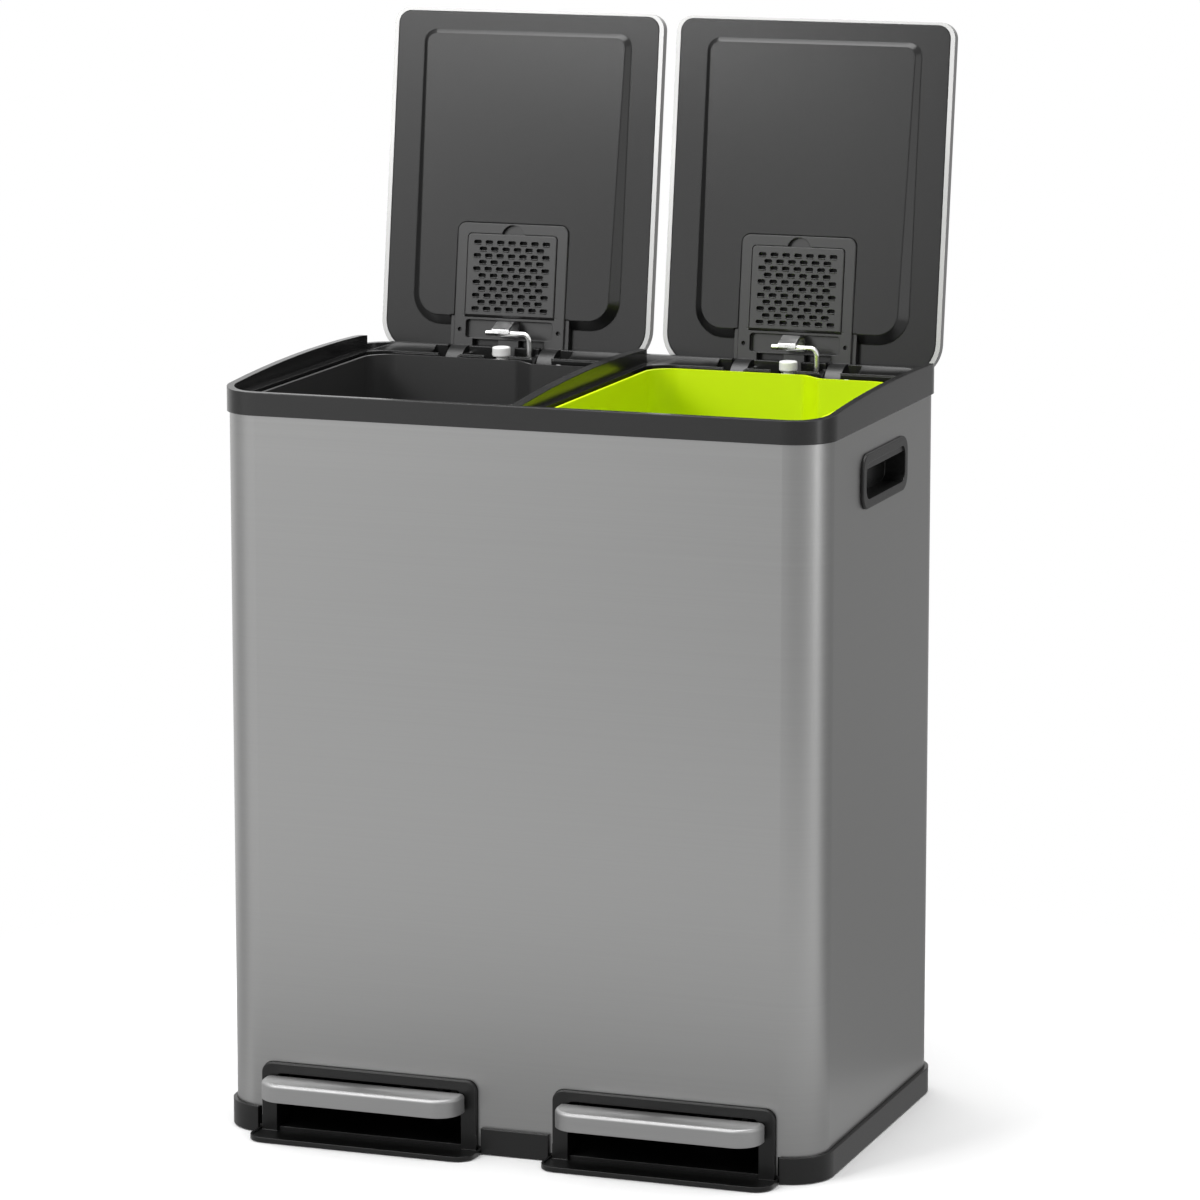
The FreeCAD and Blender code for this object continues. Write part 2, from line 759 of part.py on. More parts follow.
def hinge_plate_screws(side):
    screws = []
    for x in (-screw_x, screw_x):
        at = plate_shift + x
        under = -recess_floor - seat_gap
        head = rod(screw_head, V(at, under - screw_head, screw_s), Y_AXIS, screw_head)
        screw = head.fuse(rod(screw_shank, V(at, under - pin_gap, screw_s), Y_AXIS, 8 * screw_shank))
        slit = box(at - seat_gap, at + seat_gap, under - past, under - screw_head / 2,
                   screw_s - screw_shank, screw_s + screw_shank)
        screws.append(on_lid(screw.cut(slit), side))
    return Part.makeCompound(screws)


def rod_clip(side):
    """Hook on the hinge plate that catches the lift rod from above and in front."""
    x = plate_shift
    rod_s, rod_p = in_lid_frame(rod_y, rod_top)
    front = rod_p + rod_radius + clip_play
    foot = recess_floor + seat_gap
    low = recess_low + clip_sheet
    high = recess_high - slide_gap
    tip = rod_s - clip_grip
    under = high - clip_sheet
    fall = (front - clip_reach) * clip_slope
    thick = clip_sheet * math.hypot(1, clip_slope)
    nose = under - fall + thick - clip_sheet * clip_slope
    points = [V(0, -foot, low), V(0, -foot, high), V(0, -clip_reach, high),
              V(0, -front - clip_sheet, nose), V(0, -front - clip_sheet, tip),
              V(0, -front, tip), V(0, -front, under - fall), V(0, -clip_reach, under),
              V(0, -foot - clip_sheet, under), V(0, -foot - clip_sheet, low)]
    hook = Part.Face(outline(points, [0, 0, 2.5, 1.6, 0.8, 0.8, 0.4, 1.0, 1.0, 0]))
    hook = hook.extrude(V(2 * clip_half, 0, 0))
    hook.translate(V(x - clip_half, 0, 0))
    return on_lid(hook, side)


# Lift rods, dampers, pedals.

def lever_x(side):
    return side * lid_centre + rod_drop_x


def lift_rod(side):
    centre = side * lid_centre
    corner_x = centre + rod_drop_x
    bend = rod_bend
    left = V(centre + rod_end_x, rod_y, rod_top)
    turn_in = V(corner_x - bend, rod_y, rod_top)
    eighth = bend * math.sin(math.pi / 4)
    turn_mid = V(corner_x - bend + eighth, rod_y, rod_top - bend + eighth)
    turn_out = V(corner_x, rod_y, rod_top - bend)
    foot = V(corner_x, rod_y, rod_foot)
    path = Part.Wire([Part.makeLine(left, turn_in), Part.Arc(turn_in, turn_mid, turn_out).toShape(),
                      Part.makeLine(turn_out, foot)])
    section = Part.Wire([Part.makeCircle(rod_radius, left, X_AXIS)])
    return path.makePipeShell([section], True, False)


def rod_guide(side):
    x = lever_x(side)
    wall = half_depth - sheet - seat_gap
    front = rod_y - 2 * rod_radius
    rounding = guide_half / 2
    top = guide_z + guide_height
    block = slab(x - guide_half, x + guide_half, front, wall, guide_z, top, [rounding, rounding, 0, 0])
    foot = plate(x - 2 * guide_half, x + 2 * guide_half, guide_z - rounding, top + rounding,
                 wall - handle_wall, wall, rounding)
    guide = block.fuse(foot)
    return guide.cut(rod(rod_radius + pin_gap, V(x, rod_y, guide_z - past), Z_AXIS, 4 * past)).removeSplitter()


def damper_body(side):
    x = side * lid_centre + damper_x
    wall = half_depth + rim_overhang - rim_wall - seat_gap
    barrel = rod(damper_radius, V(x, damper_y, damper_bottom), Z_AXIS, damper_length)
    arm = box(x - lug_width, x + lug_width, damper_y, wall, damper_arm_z, damper_arm_z + lug_width)
    foot_top = damper_arm_z + lug_width + 1
    foot = plate(x - 2 * arm_half, x + 2 * arm_half, skirt_bottom + 1, foot_top, wall - handle_wall, wall, 1.5)
    body = barrel.fuse([arm, foot])
    bore_start = V(x, damper_y, damper_bottom + handle_wall)
    return body.cut(rod(stem_radius + pin_gap, bore_start, Z_AXIS, damper_length)).removeSplitter()


def damper_plunger(side):
    x = side * lid_centre + damper_x
    cap = rod(plunger_radius, V(x, damper_y, plunger_bottom), Z_AXIS, plunger_top - plunger_bottom)
    cap = cap.makeFillet(plunger_round, edges_level(cap, 2, plunger_top) + edges_level(cap, 2, plunger_bottom))
    stem_length = plunger_bottom - stem_bottom + plunger_round
    return cap.fuse(rod(stem_radius, V(x, damper_y, stem_bottom), Z_AXIS, stem_length)).removeSplitter()


def pedal_housing(side):
    """Arched surround of a pedal with a low shelf in front of it."""
    x = side * housing_centre
    outside = -half_depth - slide_gap
    corners = [0, 0, housing_corner, housing_corner]
    left = x - housing_half
    right = x + housing_half
    arch = plate(left, right, shell_bottom, housing_top, housing_front, housing_back, corners)
    arch = arch.makeFillet(housing_round, edges_level(arch, 1, housing_front))
    foot = box(left, right, housing_front, outside, base_bottom, shell_bottom + foot_rise)
    corners = [shelf_corner, shelf_corner, 0, 0]
    shelf = slab(x - shelf_half, x + shelf_half, shelf_front, outside, base_bottom, shelf_lip, corners)
    reach = shelf_half - shelf_edge
    corners = [shelf_corner - shelf_edge, shelf_corner - shelf_edge, 0, 0]
    pan_front = shelf_front + shelf_edge
    pan = slab(x - reach, x + reach, pan_front, outside - seat_gap, shelf_top, shelf_lip + past, corners)
    reach = housing_half - housing_leg
    corners = [0, 0, housing_corner / 2, housing_corner / 2]
    front = housing_front - past
    back = housing_back + past
    hole = plate(x - reach, x + reach, shelf_top, housing_top - housing_bar, front, back, corners)
    return arch.fuse([foot, shelf.cut(pan)]).cut(hole).removeSplitter()


def pedal_cap(side):
    """Pedal pad: a rounded cap, open underneath and at the back where the lever goes in."""
    x = side * lid_centre
    corners = [cap_corner, cap_corner, cap_round + 1, cap_round + 1]
    cap = slab(x - cap_half, x + cap_half, cap_front, cap_back, cap_bottom, cap_top, corners)
    cap = cap.makeFillet(cap_round, edges_level(cap, 2, cap_top))
    reach = cap_half - cap_wall
    corners = [cap_corner - cap_wall, cap_corner - cap_wall, 1, 1]
    roof = cap_top - cap_wall
    low = cap_bottom - past
    pocket = slab(x - reach, x + reach, cap_front + cap_wall, cap_back - cap_wall, low, roof, corners)
    reach = spread_half + slide_gap
    doorway = box(x - reach, x + reach, cap_back - 2 * cap_wall, cap_back + past, low, roof)
    return cap.cut([pocket, doorway])


def pedal_lever(side):
    """Bar from the pedal over its axle to the foot of the lift rod."""
    x = lever_x(side)
    y = pedal_axis_y
    z = pedal_axis_z
    pad_z = cap_top - cap_wall - seat_gap
    front = cap_back - toe_length
    points = [V(0, front, pad_z - 2 * spread_thickness), V(0, front, pad_z), V(0, cap_back + 30, pad_z),
              V(0, y - bracket_half, z + toe_half), V(0, y + bracket_half, z + toe_half),
              V(0, lever_end_y, z + lever_rise), V(0, lever_end_y, z + 1),
              V(0, y + bracket_half, z - lever_rise), V(0, y - bracket_half, z - lever_rise),
              V(0, cap_back + 24, pad_z - 7)]
    bar = Part.Face(outline(points, [1, 1, 12, 12, 20, 3, 2, 12, 12, 10])).extrude(V(2 * lever_half, 0, 0))
    bar.translate(V(x - lever_half, 0, 0))
    middle = side * lid_centre
    spread = slab(middle - spread_half, middle + spread_half, front, cap_back + 10,
                  pad_z - spread_thickness, pad_z, 6.0)
    toe = slab(x - toe_half, x + toe_half, lever_end_y - toe_length, lever_end_y, z + 2, z + lever_rise, 3.0)
    lever = bar.fuse([spread, toe])
    return lever.cut(rod(axle_radius + pin_gap, V(x - past, y, z), X_AXIS, 2 * past)).removeSplitter()


def pedal_axle(side):
    x = lever_x(side)
    reach = lever_half + slide_gap + bracket_width + handle_wall
    return rod(axle_radius, V(x - reach, pedal_axis_y, pedal_axis_z), X_AXIS, 2 * reach)


def hand_hold(side):
    """Recessed grip with a raised surround and a brow over the fingers."""
    out = side * (half_width + seat_gap)
    face = side * (half_width + handle_proud)
    back = side * (grip_back - handle_wall)
    surround = side_plate(-handle_half, handle_half, handle_low, handle_high, out, face, handle_corner)
    surround = surround.makeFillet(handle_round, edges_level(surround, 0, face))
    grow = handle_wall
    reach = grip_half + grow
    cup = side_plate(-reach, reach, grip_low - grow, grip_high + grow, back, face, grip_corner + grow)
    space = side_plate(-grip_half, grip_half, grip_low, grip_high, side * grip_back,
                       side * (half_width + past), grip_corner)
    brow = side_plate(-grip_half, grip_half, grip_high - brow_drop, grip_high + 1,
                      side * (half_width - handle_proud), side * (half_width + handle_proud / 2), handle_round)
    return surround.fuse(cup).cut(space).fuse(brow.common(cup)).removeSplitter()


def bucket(side):
    """Tapered bucket with a rolled rim; its back steps forward to clear the lift rod."""
    wall_top = bucket_rim - lip_height
    outside = Part.makeLoft([bucket_outline(side, bucket_taper, bucket_bottom),
                             bucket_outline(side, lip_width, wall_top + seat_gap)], True, True)
    inside = Part.makeLoft([bucket_outline(side, bucket_taper + bucket_wall, bucket_bottom + bucket_floor),
                            bucket_outline(side, lip_width + bucket_wall, bucket_rim + 1)], True, True)
    lip = Part.Face(bucket_outline(side, 0, wall_top)).extrude(V(0, 0, lip_height))
    lip = lip.makeFillet(lip_round, edges_level(lip, 2, bucket_rim))
    return outside.fuse(lip).cut(inside).removeSplitter()


pieces = {
    "outer_shell": outer_shell(),
    "base_tray": base_tray(),
    "floor_pads": floor_pads(),
    "inner_floor": inner_floor(),
    "top_frame": top_frame(),
}
per_side = {
    "hand_hold": hand_hold,
    "pedal_housing": pedal_housing,
    "pedal_axle": pedal_axle,
    "pedal_lever": pedal_lever,
    "pedal_cap": pedal_cap,
    "rod_guide": rod_guide,
    "lift_rod": lift_rod,
    "damper_body": damper_body,
    "damper_plunger": damper_plunger,
    "hinge_pins": hinge_pins,
    "hinge_plate": hinge_plate,
    "hinge_plate_screws": hinge_plate_screws,
    "rod_clip": rod_clip,
    "filter_pad": filter_pad,
    "filter_door": filter_door,
    "lid_liner": lid_liner,
    "lid_cover": lid_cover,
    "bucket": bucket,
}
for name, build in per_side.items():
    pieces[name + "_left"] = build(-1)
    pieces[name + "_right"] = build(1)

os.makedirs("parts", exist_ok=True)
for name, shape in pieces.items():
    shape.exportStep("parts/" + name + ".step")
    print(name, len(shape.Solids), round(shape.Volume / 1000, 2), shape.isValid())
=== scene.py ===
import bpy
import bmesh
import math
from mathutils import Matrix, Vector


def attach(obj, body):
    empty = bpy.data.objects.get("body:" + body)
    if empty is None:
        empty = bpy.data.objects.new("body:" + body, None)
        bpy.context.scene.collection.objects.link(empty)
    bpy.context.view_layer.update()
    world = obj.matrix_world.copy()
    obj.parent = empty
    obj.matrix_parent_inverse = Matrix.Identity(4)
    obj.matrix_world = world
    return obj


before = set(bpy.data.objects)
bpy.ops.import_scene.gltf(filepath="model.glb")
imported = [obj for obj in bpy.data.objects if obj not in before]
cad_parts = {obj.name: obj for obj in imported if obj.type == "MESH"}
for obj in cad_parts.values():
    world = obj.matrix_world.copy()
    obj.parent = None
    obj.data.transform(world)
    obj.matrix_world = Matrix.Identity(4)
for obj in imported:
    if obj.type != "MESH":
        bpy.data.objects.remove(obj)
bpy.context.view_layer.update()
print("frame loaded:", len(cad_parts), "nodes")


# shared node helpers

edgeSamples = 6
unstretched = (1, 1, 1)


def newMaterial(name):
    material = bpy.data.materials.new(name)
    material.use_nodes = True
    tree = material.node_tree
    shader = tree.nodes["Principled BSDF"]
    return material, tree, shader


def objectPoint(tree, scale):
    # object coordinates, stretched so that a pattern can run along one axis
    coords = tree.nodes.new("ShaderNodeTexCoord")
    mapping = tree.nodes.new("ShaderNodeMapping")
    mapping.inputs["Scale"].default_value = scale
    tree.links.new(coords.outputs["Object"], mapping.inputs["Vector"])
    return mapping.outputs["Vector"]


def maths(tree, operation, *values):
    # a maths node fed with numbers or with sockets
    node = tree.nodes.new("ShaderNodeMath")
    node.operation = operation
    for socket, value in zip(node.inputs, values):
        if isinstance(value, (int, float)):
            socket.default_value = value
        else:
            tree.links.new(value, socket)
    return node.outputs[0]


def noiseOn(tree, vector, scale, detail, roughness=0.5):
    noise = tree.nodes.new("ShaderNodeTexNoise")
    noise.inputs["Scale"].default_value = scale
    noise.inputs["Detail"].default_value = detail
    noise.inputs["Roughness"].default_value = roughness
    tree.links.new(vector, noise.inputs["Vector"])
    return noise.outputs["Fac"]


def rampTo(tree, value, low, high, socket, start=0.3, end=0.7):
    # turns a 0..1 pattern into a number between low and high
    spread = tree.nodes.new("ShaderNodeMapRange")
    spread.inputs["From Min"].default_value = start
    spread.inputs["From Max"].default_value = end
    spread.inputs["To Min"].default_value = low
    spread.inputs["To Max"].default_value = high
    tree.links.new(value, spread.inputs["Value"])
    tree.links.new(spread.outputs["Result"], socket)


def colourRamp(tree, value, dark, light, socket, start=0.3, end=0.7):
    ramp = tree.nodes.new("ShaderNodeValToRGB")
    ramp.color_ramp.elements[0].position = start
    ramp.color_ramp.elements[0].color = (*dark, 1)
    ramp.color_ramp.elements[1].position = end
    ramp.color_ramp.elements[1].color = (*light, 1)
    tree.links.new(value, ramp.inputs["Fac"])
    tree.links.new(ramp.outputs["Color"], socket)


def bumpFrom(tree, shader, value, strength, distance, edge=0.0):
    bump = tree.nodes.new("ShaderNodeBump")
    bump.inputs["Strength"].default_value = strength
    bump.inputs["Distance"].default_value = distance
    tree.links.new(value, bump.inputs["Height"])
    if edge > 0:   # moulded edges are never quite sharp
        rounding = tree.nodes.new("ShaderNodeBevel")
        rounding.samples = edgeSamples
        rounding.inputs["Radius"].default_value = edge
        tree.links.new(rounding.outputs["Normal"], bump.inputs["Normal"])
    tree.links.new(bump.outputs["Normal"], shader.inputs["Normal"])


# brushed steel: fine parallel scratches with a little slow clouding under them

steels = {
    "shellSteel": {"dark": (0.352, 0.352, 0.350), "light": (0.372, 0.372, 0.370), "rough": (0.30, 0.36),
                   "grain": (2.0, 2.0, 1100.0), "cloud": 3.0, "bump": 0.02},
    "lidSteel": {"dark": (0.37, 0.37, 0.366), "light": (0.40, 0.40, 0.396), "rough": (0.42, 0.50),
                 "grain": (3.0, 3.0, 900.0), "cloud": 3.0, "bump": 0.03},
    "pedalSteel": {"dark": (0.37, 0.37, 0.37), "light": (0.41, 0.41, 0.41), "rough": (0.46, 0.54),
                   "grain": (4.0, 900.0, 900.0), "cloud": 6.0, "bump": 0.02},
}
brushing = {"anisotropy": 0.4, "grainDetail": 6.0, "grainRoughness": 0.7, "cloudDetail": 2.0,
            "grainShare": 0.85, "cloudShare": 0.15, "depth": 0.0003}


def brushedSteel(name, finish):
    material, tree, shader = newMaterial(name)
    shader.inputs["Metallic"].default_value = 1.0
    shader.inputs["Anisotropic"].default_value = brushing["anisotropy"]
    stretched = objectPoint(tree, finish["grain"])
    grain = noiseOn(tree, stretched, 1.0, brushing["grainDetail"], brushing["grainRoughness"])
    cloud = noiseOn(tree, objectPoint(tree, unstretched), finish["cloud"], brushing["cloudDetail"])
    soft = maths(tree, "MULTIPLY", cloud, brushing["cloudShare"])
    both = maths(tree, "MULTIPLY_ADD", grain, brushing["grainShare"], soft)
    colourRamp(tree, both, finish["dark"], finish["light"], shader.inputs["Base Color"])
    rampTo(tree, grain, *finish["rough"], shader.inputs["Roughness"])
    bumpFrom(tree, shader, grain, finish["bump"], brushing["depth"])
    return material


# moulded plastics: a fine spark-eroded grain and slight mottling

moulding = {"mottle": 9.0, "mottleDetail": 3.0, "grain": 1400.0, "grainDetail": 2.0, "shade": 0.9,
            "specular": 0.5, "bump": 0.08, "depth": 0.0002, "edge": 0.0}


def mouldedPlastic(name, ownFinish):
    finish = moulding | ownFinish
    material, tree, shader = newMaterial(name)
    place = objectPoint(tree, unstretched)
    mottle = noiseOn(tree, place, finish["mottle"], finish["mottleDetail"])
    grain = noiseOn(tree, place, finish["grain"], finish["grainDetail"])
    dark = tuple(c * finish["shade"] for c in finish["colour"])
    colourRamp(tree, mottle, dark, finish["colour"], shader.inputs["Base Color"])
    rampTo(tree, grain, *finish["rough"], shader.inputs["Roughness"])
    shader.inputs["Specular IOR Level"].default_value = finish["specular"]
    bumpFrom(tree, shader, grain, finish["bump"], finish["depth"], finish["edge"])
    return material


plastics = {
    "frame": {"colour": (0.010, 0.010, 0.010), "rough": (0.20, 0.26), "bump": 0.03, "edge": 0.0012},
    "base": {"colour": (0.006, 0.006, 0.006), "rough": (0.32, 0.42), "specular": 0.4, "edge": 0.001},
    "housing": {"colour": (0.006, 0.006, 0.006), "rough": (0.28, 0.38), "specular": 0.4, "edge": 0.001},
    "inner": {"colour": (0.006, 0.006, 0.006), "rough": (0.5, 0.6)},
    "handle": {"colour": (0.006, 0.006, 0.006), "rough": (0.28, 0.38), "specular": 0.4, "edge": 0.001},
    "liner": {"colour": (0.006, 0.006, 0.006), "rough": (0.23, 0.27), "specular": 0.36, "edge": 0.0014},
    "hinge": {"colour": (0.011, 0.011, 0.011), "rough": (0.30, 0.40), "edge": 0.0006},
    "door": {"colour": (0.016, 0.016, 0.016), "rough": (0.30, 0.40), "edge": 0.0005},
    "greyBucket": {"colour": (0.027, 0.027, 0.027), "rough": (0.32, 0.40), "mottle": 4.0},
    "limeBucket": {"colour": (0.60, 0.785, 0.001), "rough": (0.34, 0.42), "mottle": 4.0, "shade": 0.96,
                   "specular": 0.2},
    "nylon": {"colour": (0.80, 0.80, 0.79), "rough": (0.35, 0.45), "shade": 0.97},
    "pads": {"colour": (0.015, 0.015, 0.015), "rough": (0.7, 0.8)},
}


# small metal parts: worn in patches, finely pitted; the lever is painted

working = {"metal": 1.0, "wearDetail": 4.0, "fine": 2500.0, "fineDetail": 2.0, "bump": 0.04, "depth": 0.0002}


def plainMetal(name, ownFinish):
    finish = working | ownFinish
    material, tree, shader = newMaterial(name)
    shader.inputs["Metallic"].default_value = finish["metal"]
    place = objectPoint(tree, unstretched)
    wear = noiseOn(tree, place, finish["wear"], finish["wearDetail"])
    fine = noiseOn(tree, place, finish["fine"], finish["fineDetail"])
    colourRamp(tree, wear, finish["dark"], finish["light"], shader.inputs["Base Color"])
    rampTo(tree, wear, *finish["rough"], shader.inputs["Roughness"])
    bumpFrom(tree, shader, fine, finish["bump"], finish["depth"])
    return material


metals = {
    "rod": {"dark": (0.72, 0.72, 0.71), "light": (0.86, 0.86, 0.85), "rough": (0.22, 0.34), "wear": 90.0},
    "clip": {"dark": (0.40, 0.40, 0.40), "light": (0.55, 0.55, 0.55), "rough": (0.25, 0.35), "wear": 120.0},
    "axle": {"dark": (0.55, 0.55, 0.55), "light": (0.70, 0.70, 0.70), "rough": (0.2, 0.3), "wear": 60.0},
    "screw": {"dark": (0.04, 0.04, 0.04), "light": (0.08, 0.08, 0.08), "rough": (0.3, 0.45), "wear": 200.0},
    "lever": {"dark": (0.015, 0.015, 0.015), "light": (0.03, 0.03, 0.03), "rough": (0.35, 0.5), "wear": 50.0,
              "metal": 0.0},
}


felt = {"dark": (0.004, 0.004, 0.004), "light": (0.022, 0.022, 0.022), "rough": 0.95, "sheen": 0.2,
        "fibre": 700.0, "fibreDetail": 8.0, "fibreRoughness": 0.8, "bump": 0.6, "depth": 0.0008}


def feltMaterial():
    material, tree, shader = newMaterial("charcoalFelt")
    place = objectPoint(tree, unstretched)
    fibre = noiseOn(tree, place, felt["fibre"], felt["fibreDetail"], felt["fibreRoughness"])
    colourRamp(tree, fibre, felt["dark"], felt["light"], shader.inputs["Base Color"])
    shader.inputs["Roughness"].default_value = felt["rough"]
    shader.inputs["Sheen Weight"].default_value = felt["sheen"]
    bumpFrom(tree, shader, fibre, felt["bump"], felt["depth"])
    return material


finishes = {"felt": feltMaterial()}
for key, finish in steels.items():
    finishes[key] = brushedSteel(key, finish)
for key, finish in plastics.items():
    finishes[key] = mouldedPlastic(key + "Plastic", finish)
for key, finish in metals.items():
    finishes[key] = plainMetal(key + "Metal", finish)
print("materials:", len(finishes))

nodeFinish = {
    "outer_shell": "shellSteel", "base_tray": "base", "floor_pads": "pads", "inner_floor": "inner",
    "top_frame": "frame", "hand_hold": "handle", "pedal_housing": "housing", "pedal_axle": "axle",
    "rod_guide": "inner", "damper_body": "inner", "hinge_pins": "axle", "lid_cover": "lidSteel",
    "lid_liner": "liner", "hinge_plate": "hinge", "hinge_plate_screws": "screw", "rod_clip": "clip",
    "filter_pad": "felt", "filter_door": "door", "lift_rod": "rod", "damper_plunger": "nylon",
    "pedal_lever": "lever", "pedal_cap": "pedalSteel", "bucket_left": "greyBucket",
    "bucket_right": "limeBucket",
}


def stemOf(name):
    for ending in ("_left", "_right"):
        if name not in nodeFinish and name.endswith(ending):
            return name[:-len(ending)]
    return name


for name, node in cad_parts.items():
    node.data.materials.clear()
    node.data.materials.append(finishes[nodeFinish[stemOf(name)]])
print("nodes dressed")


# raised lower lips of the slots in the filter doors, staggered from row to row

slotLips = {"length": 0.0064, "rise": 0.0007, "foot": 0.0006, "slimmest": 0.4, "sides": 8,
            "heights": ((-1.0, 0.10), (-0.85, 0.55), (-0.6, 0.88), (-0.25, 1.0),
                        (0.25, 1.0), (0.6, 0.88), (0.85, 0.55), (1.0, 0.10)),
            "rows": 11, "across": 7, "rowPitch": 0.00555, "columnPitch": 0.01015,
            "middle": 0.0613, "below": 0.0019, "shift": -0.0025, "proud": 0.0090,
            "smallest": 0.97, "largest": 1.0, "seed": 4}
lidPlace = {"lean": math.radians(7.75), "side": 0.125, "back": 0.1732, "height": 0.595}


def lipMesh():
    # one lip: a low ridge that runs out at both ends
    half = slotLips["length"] / 2
    sides = slotLips["sides"]
    slimmest = slotLips["slimmest"]
    shape = bmesh.new()
    rings = []
    for place, high in slotLips["heights"]:
        ring = []
        for step in range(sides):
            angle = 2 * math.pi * step / sides
            out = -slotLips["rise"] * high * math.sin(angle)
            across = slotLips["foot"] * (slimmest + (1 - slimmest) * high) * math.cos(angle)
            ring.append(shape.verts.new((place * half, out, across)))
        rings.append(ring)
    for first, after in zip(rings, rings[1:]):
        for step in range(sides):
            following = (step + 1) % sides
            shape.faces.new((first[step], first[following], after[following], after[step]))
    shape.faces.new(list(reversed(rings[0])))
    shape.faces.new(rings[-1])
    bmesh.ops.recalc_face_normals(shape, faces=shape.faces)
    mesh = bpy.data.meshes.new("slotLip")
    shape.to_mesh(mesh)
    shape.free()
    for polygon in mesh.polygons:
        polygon.use_smooth = True
    return mesh


lipInputs = {"Lip": "NodeSocketObject", "Rows": "NodeSocketInt", "Across": "NodeSocketInt",
             "Row pitch": "NodeSocketFloat", "Column pitch": "NodeSocketFloat", "Smallest": "NodeSocketFloat",
             "Largest": "NodeSocketFloat", "Seed": "NodeSocketInt", "Finish": "NodeSocketMaterial"}


def lipTree():
    # a grid of points with every second row moved half a pitch, and a lip on each point
    group = bpy.data.node_groups.new("slotLipRows", "GeometryNodeTree")
    named = {}
    for name, kind in lipInputs.items():
        named[name] = group.interface.new_socket(name=name, in_out="INPUT", socket_type=kind).identifier
    group.interface.new_socket(name="Geometry", in_out="OUTPUT", socket_type="NodeSocketGeometry")
    given = group.nodes.new("NodeGroupInput").outputs
    link = group.links.new

    points = group.nodes.new("GeometryNodeMeshLine")
    link(maths(group, "MULTIPLY", given["Rows"], given["Across"]), points.inputs["Count"])
    index = group.nodes.new("GeometryNodeInputIndex").outputs[0]
    lastColumn = maths(group, "SUBTRACT", given["Across"], 1)
    lastRow = maths(group, "SUBTRACT", given["Rows"], 1)
    row = maths(group, "FLOOR", maths(group, "DIVIDE", index, given["Across"]))
    column = maths(group, "MODULO", index, given["Across"])
    odd = maths(group, "MODULO", row, 2)
    fromMiddle = maths(group, "SUBTRACT", column, maths(group, "DIVIDE", lastColumn, 2))
    stepAcross = maths(group, "MULTIPLY_ADD", odd, 0.5, fromMiddle)
    stepUp = maths(group, "SUBTRACT", row, maths(group, "DIVIDE", lastRow, 2))
    place = group.nodes.new("ShaderNodeCombineXYZ")
    link(maths(group, "MULTIPLY", stepAcross, given["Column pitch"]), place.inputs["X"])
    link(maths(group, "MULTIPLY", stepUp, given["Row pitch"]), place.inputs["Z"])
    moved = group.nodes.new("GeometryNodeSetPosition")
    link(points.outputs["Mesh"], moved.inputs["Geometry"])
    link(place.outputs[0], moved.inputs["Position"])

    # the last place of a moved row is left empty
    spare = maths(group, "MULTIPLY", odd, maths(group, "COMPARE", column, lastColumn))
    kept = group.nodes.new("GeometryNodeDeleteGeometry")
    link(moved.outputs[0], kept.inputs["Geometry"])
    link(spare, kept.inputs["Selection"])

    lip = group.nodes.new("GeometryNodeObjectInfo")
    link(given["Lip"], lip.inputs["Object"])
    spread = group.nodes.new("FunctionNodeRandomValue")
    scaleLow, scaleHigh, scale = spread.inputs[2], spread.inputs[3], spread.outputs[1]
    link(given["Smallest"], scaleLow)
    link(given["Largest"], scaleHigh)
    link(given["Seed"], spread.inputs["Seed"])
    placed = group.nodes.new("GeometryNodeInstanceOnPoints")
    link(kept.outputs[0], placed.inputs["Points"])
    link(lip.outputs["Geometry"], placed.inputs["Instance"])
    link(scale, placed.inputs["Scale"])
    solid = group.nodes.new("GeometryNodeRealizeInstances")
    link(placed.outputs[0], solid.inputs[0])
    dressed = group.nodes.new("GeometryNodeSetMaterial")
    link(solid.outputs[0], dressed.inputs["Geometry"])
    link(given["Finish"], dressed.inputs["Material"])
    link(dressed.outputs[0], group.nodes.new("NodeGroupOutput").inputs[0])
    return group, named


def bakedLips():
    # all the lips of one door as one mesh
    group, named = lipTree()
    pattern = bpy.data.objects.new("slotLipPattern", lipMesh())
    carrier = bpy.data.objects.new("slotLipCarrier", bpy.data.meshes.new("slotLipCarrier"))
    bpy.context.collection.objects.link(carrier)
    modifier = carrier.modifiers.new("rows", "NODES")
    modifier.node_group = group
    values = {"Lip": pattern, "Rows": slotLips["rows"], "Across": slotLips["across"],
              "Row pitch": slotLips["rowPitch"], "Column pitch": slotLips["columnPitch"],
              "Smallest": slotLips["smallest"], "Largest": slotLips["largest"],
              "Seed": slotLips["seed"], "Finish": finishes["door"]}
    for name, value in values.items():
        modifier[named[name]] = value
    bpy.context.view_layer.update()
    depsgraph = bpy.context.evaluated_depsgraph_get()
    baked = bpy.data.meshes.new_from_object(carrier.evaluated_get(depsgraph), depsgraph=depsgraph)
    carrier.modifiers.remove(modifier)
    bpy.data.objects.remove(carrier)
    bpy.data.objects.remove(pattern)
    return baked


def buildLips():
    baked = bakedLips()
    lean = Matrix.Rotation(-lidPlace["lean"], 4, "X")
    lowerLip = slotLips["middle"] - slotLips["below"]
    onDoor = Matrix.Translation((slotLips["shift"], -slotLips["proud"], lowerLip))
    for side, sign in (("left", -1), ("right", 1)):
        onLid = Matrix.Translation((sign * lidPlace["side"], lidPlace["back"], lidPlace["height"]))
        mesh = baked.copy()
        mesh.transform(onLid @ lean @ onDoor)
        piece = bpy.data.objects.new("slotLips_" + side, mesh)
        mesh.name = piece.name
        bpy.context.collection.objects.link(piece)
        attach(piece, "filter_door_" + side)
        print("lips", side, len(mesh.polygons))
    bpy.data.meshes.remove(baked)


buildLips()


# floor, light and camera

